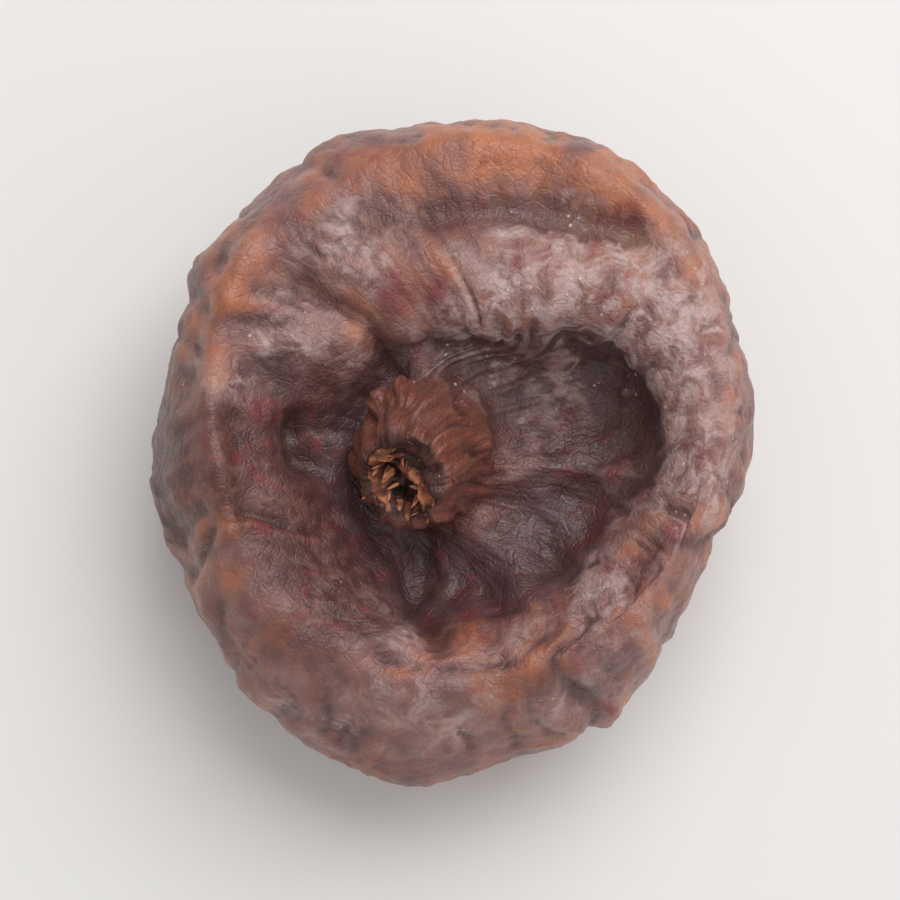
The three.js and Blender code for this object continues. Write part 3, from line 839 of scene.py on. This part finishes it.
def skin_finish(colours):
    """Leathery skin: mauve brown with amber ribs, creases and the hollow darkened with painted shade, dark
    flushed patches and a dark broken stalk end that are partly painted shade, and a dusty bloom of dried
    sugar.
    """
    f = Finish("fig skin")
    crease, flush = f.attribute("crease"), f.attribute("flush")
    amber, bloom = f.attribute("amber"), f.attribute("bloom")
    hollow, stalk, torn = f.attribute("hollow"), f.attribute("stalk"), f.attribute("torn")
    flow = f.attribute("flow", "Vector")

    blotch = f.band(f.noise(2.6 * MM, 4.0), 0.35, 0.68)
    strand = f.noise(1.6, 4.0, flow)
    colour = f.mix(blotch, colours.skin, colours.skin_light)
    colour = f.mix(f.math("MULTIPLY", f.band(strand, 0.5, 0.72), 0.25), colour, colours.amber)
    amber_here = f.math("MULTIPLY", amber, f.band(f.noise(1.1 * MM, 3.0), 0.25, 0.6, 0.5, 1.0))
    colour = f.mix(amber_here, colour, colours.amber)
    flush_and_shade_here = f.math("MULTIPLY", flush, f.band(f.noise(0.9 * MM, 4.0), 0.3, 0.6, 0.45, 0.9))
    # Partly painted shade: the skin is mixed towards the dark flush colour. It is its own red brown in
    # places, and painted shade on the outer left flank, in the pit and by the stalk.
    colour = f.mix(flush_and_shade_here, colour, colours.flush)
    # Painted shade: the skin sunk round the stalk is mixed towards the dark hollow colour, standing in for
    # the shade of the pocket.
    colour = f.mix(f.math("MULTIPLY", hollow, 0.75), colour, colours.hollow)
    red = f.band(f.noise(2.2 * MM, 3.0), 0.54, 0.7, 0.0, 0.6)
    colour = f.mix(red, colour, colours.flesh)
    neck = f.band(f.noise(0.8, 4.0, flow), 0.35, 0.65, 0.6, 1.0)
    colour = f.mix(f.math("MULTIPLY", stalk, neck), colour, colours.stalk)

    # The bloom lies in mauve mottles, is rubbed off the flushed skin and the patches of painted shade, and
    # is broken up finely.
    mottle = f.band(f.noise(1.7 * MM, 5.0, roughness=0.6, distortion=1.2), 0.38, 0.62, 0.1, 1.0)
    dust = f.band(f.noise(0.35 * MM, 4.0, roughness=0.7), 0.3, 0.62, 0.5, 1.0)
    dust = f.math("MULTIPLY", f.math("MULTIPLY", bloom, mottle), dust)
    dust = f.math("MULTIPLY", dust, f.band(crease, 0.3, 1.0, 1.0, 0.45))
    dust = f.math("MULTIPLY", dust, f.band(flush, 0.2, 1.0, 1.0, 0.4))
    dust = f.math("MULTIPLY", dust, f.band(stalk, 0.0, 1.0, 1.0, 0.1))
    colour = f.mix(dust, colour, colours.bloom)

    # Painted shade: the skin is darkened towards the crease colour where it lies deep in a crease.
    colour = f.mix(f.math("MULTIPLY", crease, 0.55), colour, colours.crease)
    # Partly painted shade: the broken end of the stalk and the inside of its opening are darkened towards
    # the torn colour.
    colour = f.mix(f.math("MULTIPLY", torn, 0.8), colour, colours.torn)

    # Specks of sugar that stand on the bloom.
    speck = f.math("MULTIPLY", f.band(f.cells(0.75 * MM), 0.1, 0.2, 1.0, 0.0), f.band(bloom, 0.1, 0.8))
    speck = f.math("MULTIPLY", speck, f.band(f.noise(3.0 * MM), 0.48, 0.6))
    colour = f.mix(f.math("MULTIPLY", speck, 0.7), colour, colours.sugar)

    wrinkles = f.noise(1.1, 4.0, flow, 0.55)
    wrinkles = f.math("MULTIPLY", wrinkles, f.band(hollow, 0.0, 1.0, 1.0, 0.4))
    normal = f.bump(wrinkles, 0.12 * MM, 0.8)
    leather = f.cells(0.9 * MM, "DISTANCE_TO_EDGE", f.bent(0.8 * MM, 1.2 * MM))
    normal = f.bump(f.band(leather, 0.0, 0.14), 0.05 * MM, 0.5, normal)
    grain = f.math("ABSOLUTE", f.math("SUBTRACT", f.noise(0.4 * MM, 1.0), 0.5))
    normal = f.bump(f.band(grain, 0.0, 0.1), 0.025 * MM, 0.7, normal)
    normal = f.bump(f.noise(0.12 * MM, 2.0), 0.03 * MM, 0.5, normal)
    normal = f.bump(speck, 0.06 * MM, 0.8, normal)
    rough = f.band(f.noise(0.8 * MM, 3.0), 0.3, 0.7, 0.34, 0.5)
    rough = f.math("ADD", rough, f.math("MULTIPLY", dust, 0.35), clamp=True)
    f.set(Base_Color=colour, Roughness=rough, Normal=normal)
    f.set(Subsurface_Weight=0.12, Subsurface_Radius=(1.0, 0.4, 0.25), Subsurface_Scale=1.2 * MM)
    f.set(Specular_IOR_Level=0.5, Sheen_Weight=0.06, Sheen_Roughness=0.45)
    return f.material


def torn_finish(colours):
    """Dry stringy flesh: darkened in its pits with painted shade, and pale on its torn ridges."""
    f = Finish("torn flesh")
    # Painted shade: the lower the torn flesh lies, the nearer its colour is to the dark torn colour.
    raised = f.band(f.attribute("height"), -0.9, -0.25)
    raised = f.math("MULTIPLY", raised, f.band(f.noise(0.5 * MM, 4.0), 0.35, 0.6, 0.5, 1.0))
    colour = f.mix(raised, colours.torn, colours.stalk)
    colour = f.mix(f.math("MULTIPLY", raised, f.band(f.noise(1.6 * MM), 0.42, 0.6)), colour, colours.pith)
    normal = f.bump(f.noise(0.3 * MM, 4.0, roughness=0.65), 0.08 * MM, 0.9)
    f.set(Base_Color=colour, Roughness=0.75, Normal=normal)
    f.set(Subsurface_Weight=0.1, Subsurface_Radius=(1.0, 0.5, 0.3), Subsurface_Scale=0.8 * MM)
    return f.material


def strand_finish(name, dark, light):
    """Dry fibres or scales, mottled from dark to light."""
    f = Finish(name)
    colour = f.mix(f.band(f.noise(1.0 * MM, 4.0), 0.36, 0.62), dark, light)
    normal = f.bump(f.noise(0.25 * MM, 4.0, roughness=0.65), 0.05 * MM, 0.8)
    f.set(Base_Color=colour, Roughness=0.7, Normal=normal)
    return f.material


# ------------------------------------------------------------------ settings
def colour_property(name, description, default):
    """A colour that a user may change."""
    return bpy.props.FloatVectorProperty(
        name=name, description=description, default=default, size=4, min=0, max=1, subtype="COLOR"
    )


def size_property(name, description, default):
    """A size that a user may change, with its default in millimetres."""
    return bpy.props.FloatProperty(
        name=name, description=description, default=default * MM, min=0, unit="LENGTH", precision=5
    )


class FigSizes(bpy.types.PropertyGroup):
    """How deep each kind of wrinkle is."""

    lumps: size_property("Lumps", "Rise of the broad lumps left by uneven drying", 0.8)
    pleats: size_property("Pleats", "Height of the pleats from eye to stalk", 0.6)
    creases: size_property("Creases", "Depth of the fine net of creases", 0.06)
    neck_pleats: size_property("Neck pleats", "Height of the pleats up the stalk", 0.6)
    torn_edge: size_property("Torn edge", "How ragged the broken end of the stalk is", 0.9)


class FigColours(bpy.types.PropertyGroup):
    """The colours of the skin."""

    skin: colour_property("Skin", "Mauve brown of most of the skin", srgb(112, 74, 72))
    skin_light: colour_property("Light skin", "The skin's lighter blotches", srgb(146, 100, 92))
    amber: colour_property("Amber", "Ribs and patches rubbed clean", srgb(184, 112, 76))
    # Flush: the skin's own dark red brown in part, and painted shade in part.
    flush: colour_property("Flush", "Dark red brown where the skin is bare", srgb(74, 41, 38))
    # Hollow: painted shade of the pocket round the stalk, put into the skin's colour.
    hollow: colour_property("Hollow", "Skin sunk round the stalk", srgb(82, 56, 60))
    flesh: colour_property("Red blotches", "Where the flesh shows through", srgb(124, 46, 50))
    bloom: colour_property("Bloom", "Dust of dried sugar", srgb(192, 166, 162))
    sugar: colour_property("Sugar", "Specks of sugar on the bloom", srgb(214, 200, 190))
    # Crease: painted shade at the bottom of the creases; the eye's scales also use it as their own dark
    # colour.
    crease: colour_property("Crease", "Bottom of the creases", srgb(62, 32, 28))
    stalk: colour_property("Stalk", "The dried neck", srgb(104, 50, 36))
    # Torn end: partly the broken stalk's own dark inside, and partly painted shade in its opening and
    # pits.
    torn: colour_property("Torn end", "Inside of the broken stalk", srgb(54, 28, 24))
    pith: colour_property("Pith", "Pale torn tips of the stalk's flesh", srgb(196, 128, 88))


class StageSettings(bpy.types.PropertyGroup):
    """The floor, the lights and the camera."""

    floor: colour_property("Floor", "Colour of the plain floor", srgb(232, 230, 228))
    elevation: bpy.props.FloatProperty(
        name="Elevation", description="The camera's height above the horizon",
        default=math.radians(82), subtype="ANGLE",
    )
    distance: bpy.props.FloatProperty(
        name="Distance", description="From the camera to the fig", default=0.155, unit="LENGTH"
    )


# ------------------------------------------------------------------ the stage
FLOOR_HALF = 2.0
KEY_LAMP = {"place": (0.12, 0.2, 0.36), "size": 0.34, "power": 1.33}
FILL_LAMP = {"place": (0.35, -0.25, 0.3), "size": 0.4, "power": 0.3}
SKY_STRENGTH = 0.5
LENS, CLIP_START = 100, 0.01


def area_light(name, place, size, power):
    """A square lamp that looks at the fig."""
    light = bpy.data.lights.new(name, "AREA")
    light.size = size
    light.energy = power
    lamp = bpy.data.objects.new(name, light)
    lamp.location = place
    lamp.rotation_euler = (-Vector(place)).to_track_quat("-Z", "Y").to_euler()
    bpy.context.scene.collection.objects.link(lamp)


def add_floor(scene, colour):
    """A plain square floor under the fig."""
    mesh = bpy.data.meshes.new("floor")
    corners = [(x * FLOOR_HALF, y * FLOOR_HALF, 0) for x, y in ((-1, -1), (1, -1), (1, 1), (-1, 1))]
    mesh.from_pydata(corners, [], [(0, 1, 2, 3)])
    floor = bpy.data.objects.new("floor", mesh)
    scene.collection.objects.link(floor)
    finish = Finish("floor")
    finish.set(Base_Color=colour, Roughness=0.8)
    mesh.materials.append(finish.material)


def add_sky(scene):
    """Even white light from all round."""
    scene.world = scene.world or bpy.data.worlds.new("world")
    scene.world.use_nodes = True
    sky = scene.world.node_tree.nodes["Background"]
    sky.inputs["Color"].default_value = (1, 1, 1, 1)
    sky.inputs["Strength"].default_value = SKY_STRENGTH


def add_camera(scene, elevation, distance):
    """A camera that looks at the fig's middle."""
    camera = bpy.data.cameras.new("camera")
    camera.lens = LENS
    camera.clip_start = CLIP_START
    eye = bpy.data.objects.new("camera", camera)
    target = (FIG_LOW + FIG_HIGH) / 2
    back = Vector((0, -math.cos(elevation), math.sin(elevation)))
    eye.location = target + back * distance
    eye.rotation_euler = (-back).to_track_quat("-Z", "Y").to_euler()
    scene.collection.objects.link(eye)
    scene.camera = eye
    scene.view_settings.view_transform = "Standard"


# ------------------------------------------------------------------ operators
def add_piece(name, mesh, material):
    """A finished mesh as a piece of the object, riding on its one body."""
    piece = bpy.data.objects.new(name, mesh)
    bpy.context.scene.collection.objects.link(piece)
    mesh.materials.append(material)
    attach(piece, "root")
    return piece


class BuildSkin(bpy.types.Operator):
    """Builds the wrinkled skin in place of the plain solid"""

    bl_idname = "fig.build_skin"
    bl_label = "Skin"

    def execute(self, context):
        place, finish_inputs = fig_surface(context.scene.fig_sizes)
        mesh = closed_mesh(SKIN, fit_to_box(place, FIG_LOW, FIG_HIGH)[None])
        for name, values in finish_inputs.items():
            write_attribute(mesh, name, values[None])
        piece = add_piece(SKIN, mesh, skin_finish(context.scene.fig_colours))
        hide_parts(FIG_NODE)
        return {"FINISHED"}


class BuildStalkEnd(bpy.types.Operator):
    """Fills the broken end of the stalk with torn flesh and loose fibres"""

    bl_idname = "fig.build_stalk_end"
    bl_label = "Stalk end"

    def execute(self, context):
        colours = context.scene.fig_colours
        place, height = pith_surface()
        mesh = closed_mesh("stalk_pith", place[None] * MM)
        write_attribute(mesh, "height", height[None])
        add_piece("stalk_pith", mesh, torn_finish(colours))
        mesh = closed_mesh("stalk_fibres", fibre_blades() * MM)
        add_piece("stalk_fibres", mesh, strand_finish("fibres", colours.stalk, colours.pith))
        return {"FINISHED"}


class BuildEye(bpy.types.Operator):
    """Closes the eye on the underside with small scales"""

    bl_idname = "fig.build_eye"
    bl_label = "Eye scales"

    def execute(self, context):
        colours = context.scene.fig_colours
        mesh = closed_mesh("eye_scales", eye_blades() * MM)
        add_piece("eye_scales", mesh, strand_finish("scales", colours.crease, colours.amber))
        return {"FINISHED"}


class BuildStage(bpy.types.Operator):
    """Lays a plain pale floor and sets up soft lights and a camera that looks down on the stalk"""

    bl_idname = "fig.build_stage"
    bl_label = "Floor, lights and camera"

    def execute(self, context):
        settings = context.scene.fig_stage
        add_floor(context.scene, settings.floor)
        area_light("key", **KEY_LAMP)
        area_light("fill", **FILL_LAMP)
        add_sky(context.scene)
        add_camera(context.scene, settings.elevation, settings.distance)
        return {"FINISHED"}


class FigPanel(bpy.types.Panel):
    """The fig's settings and the buttons that build it"""

    bl_idname = "FIG_PT_panel"
    bl_label = "Dried fig"
    bl_space_type = "VIEW_3D"
    bl_region_type = "UI"
    bl_category = "Dried fig"

    def draw(self, context):
        for settings in (context.scene.fig_sizes, context.scene.fig_colours, context.scene.fig_stage):
            for name in settings.__annotations__:
                self.layout.prop(settings, name)
        for operator in OPERATORS:
            self.layout.operator(operator.bl_idname)


SETTINGS = {"fig_sizes": FigSizes, "fig_colours": FigColours, "fig_stage": StageSettings}
OPERATORS = (BuildStage, BuildSkin, BuildStalkEnd, BuildEye)


def register():
    """Adds the settings, the operators and the panel."""
    for kind in (*SETTINGS.values(), *OPERATORS, FigPanel):
        bpy.utils.register_class(kind)
    for name, kind in SETTINGS.items():
        setattr(bpy.types.Scene, name, bpy.props.PointerProperty(type=kind))


def unregister():
    """Takes them away again, in the reverse order."""
    for name in SETTINGS:
        delattr(bpy.types.Scene, name)
    for kind in (FigPanel, *OPERATORS, *SETTINGS.values()):
        bpy.utils.unregister_class(kind)


def main():
    """Builds the fig and its stage."""
    register()
    bpy.ops.fig.build_stage()
    bpy.ops.fig.build_skin()
    bpy.ops.fig.build_stalk_end()
    bpy.ops.fig.build_eye()


if __name__ == "__main__":
    main()
